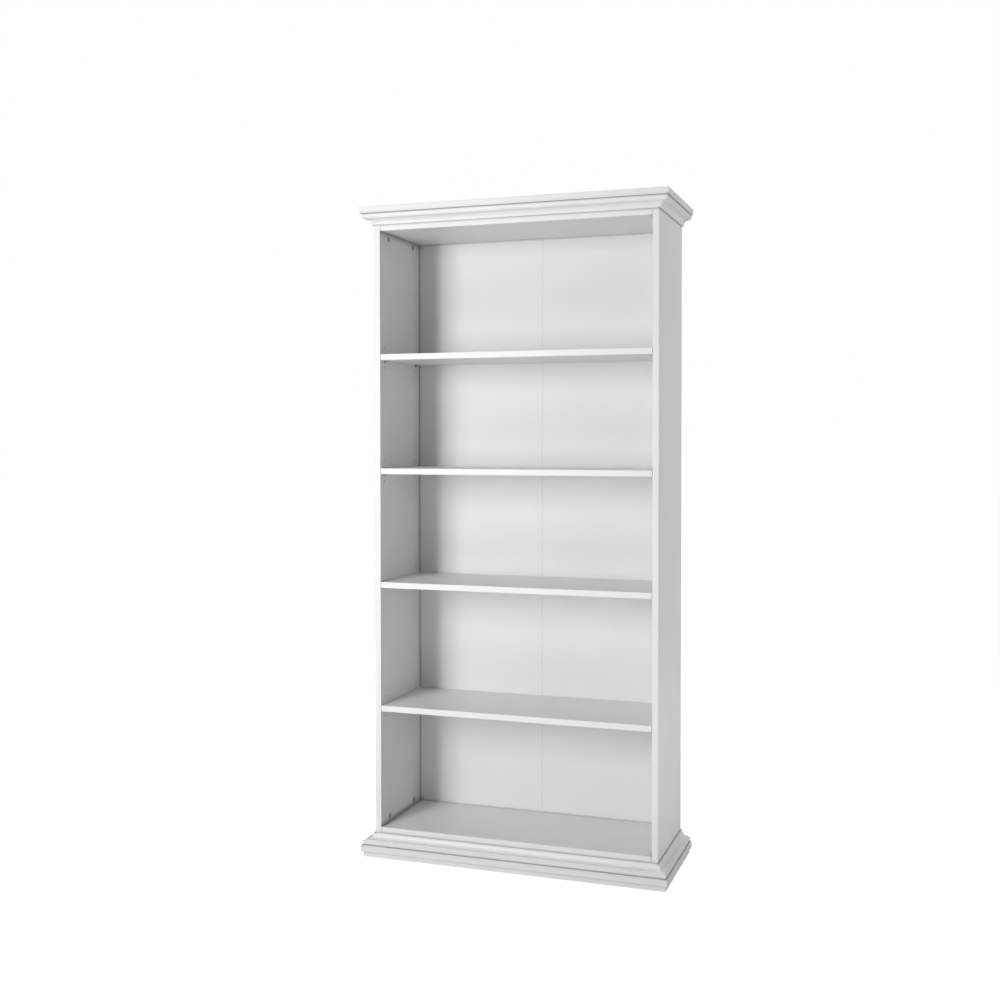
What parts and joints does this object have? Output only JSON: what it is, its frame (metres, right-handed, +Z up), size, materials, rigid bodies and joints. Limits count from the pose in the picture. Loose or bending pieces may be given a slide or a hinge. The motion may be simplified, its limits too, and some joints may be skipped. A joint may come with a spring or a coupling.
{
  "type": "bookcase",
  "caption": "Tall open bookcase with adjustable shelves on plug-in supports, a coved cornice, a coved base and a thin back in two sheets.",
  "frame": {"origin": "on the floor, in the middle of the bookcase's outline seen from above", "axes": "+X to the right seen from the front, +Y towards the wall, +Z up"},
  "size_m": [0.962, 0.368, 2.003],
  "materials": {
    "white_foil_board": "white foil on particleboard, satin",
    "white_moulding": "white foil wrapped round a moulded fibreboard, satin",
    "back_sheet": "thin hardboard, white in front and brown behind",
    "joint_strip": "matt extruded strip",
    "raw_board": "bare particleboard",
    "support_metal": "zinc-plated, dull",
    "zinc": "die-cast zinc",
    "steel": "zinc-plated steel",
    "beech": "bare beech"
  },
  "bodies": {
    "carcass": {"left_side_panel": "white_foil_board", "right_side_panel": "white_foil_board", "top_panel": "white_foil_board", "bottom_shelf": "white_foil_board", "cornice_top_board": "white_foil_board", "base_plate": "white_foil_board", "plinth_front": "white_foil_board", "plinth_rear": "white_foil_board", "plinth_left": "white_foil_board", "plinth_right": "white_foil_board", "cornice_front_moulding": "white_moulding", "cornice_left_moulding": "white_moulding", "cornice_right_moulding": "white_moulding", "base_front_moulding": "white_moulding", "base_left_moulding": "white_moulding", "base_right_moulding": "white_moulding", "back_panel_left": "back_sheet", "back_panel_right": "back_sheet", "back_joint_strip": "joint_strip", "cornice_front_rail": "raw_board", "cornice_rear_rail": "raw_board", "cornice_left_rail": "raw_board", "cornice_right_rail": "raw_board", "base_front_rail": "raw_board", "base_rear_rail": "raw_board", "base_left_rail": "raw_board", "base_right_rail": "raw_board", "shelf_1_supports": "support_metal", "shelf_2_supports": "support_metal", "shelf_3_supports": "support_metal", "shelf_4_supports": "support_metal", "side_cam_locks": "zinc", "panel_cam_locks": "zinc", "side_cam_bolts": "steel", "panel_cam_bolts": "steel", "cornice_screws": "steel", "base_screws": "steel", "plinth_screws": "steel", "back_panel_nails": "steel", "side_dowels": "beech", "panel_dowels": "beech"},
    "adjustable_shelf_1": {"shelf_1": "white_foil_board"},
    "adjustable_shelf_2": {"shelf_2": "white_foil_board"},
    "adjustable_shelf_3": {"shelf_3": "white_foil_board"},
    "adjustable_shelf_4": {"shelf_4": "white_foil_board"}
  },
  "joints": [
    {"name": "shelf_1_slide", "type": "slide", "parent": "carcass", "child": "adjustable_shelf_1", "axis": [0, -1, 0], "range_m": [0, 0.34]},
    {"name": "shelf_2_slide", "type": "slide", "parent": "carcass", "child": "adjustable_shelf_2", "axis": [0, -1, 0], "range_m": [0, 0.34]},
    {"name": "shelf_3_slide", "type": "slide", "parent": "carcass", "child": "adjustable_shelf_3", "axis": [0, -1, 0], "range_m": [0, 0.34]},
    {"name": "shelf_4_slide", "type": "slide", "parent": "carcass", "child": "adjustable_shelf_4", "axis": [0, -1, 0], "range_m": [0, 0.34]}
  ]
}
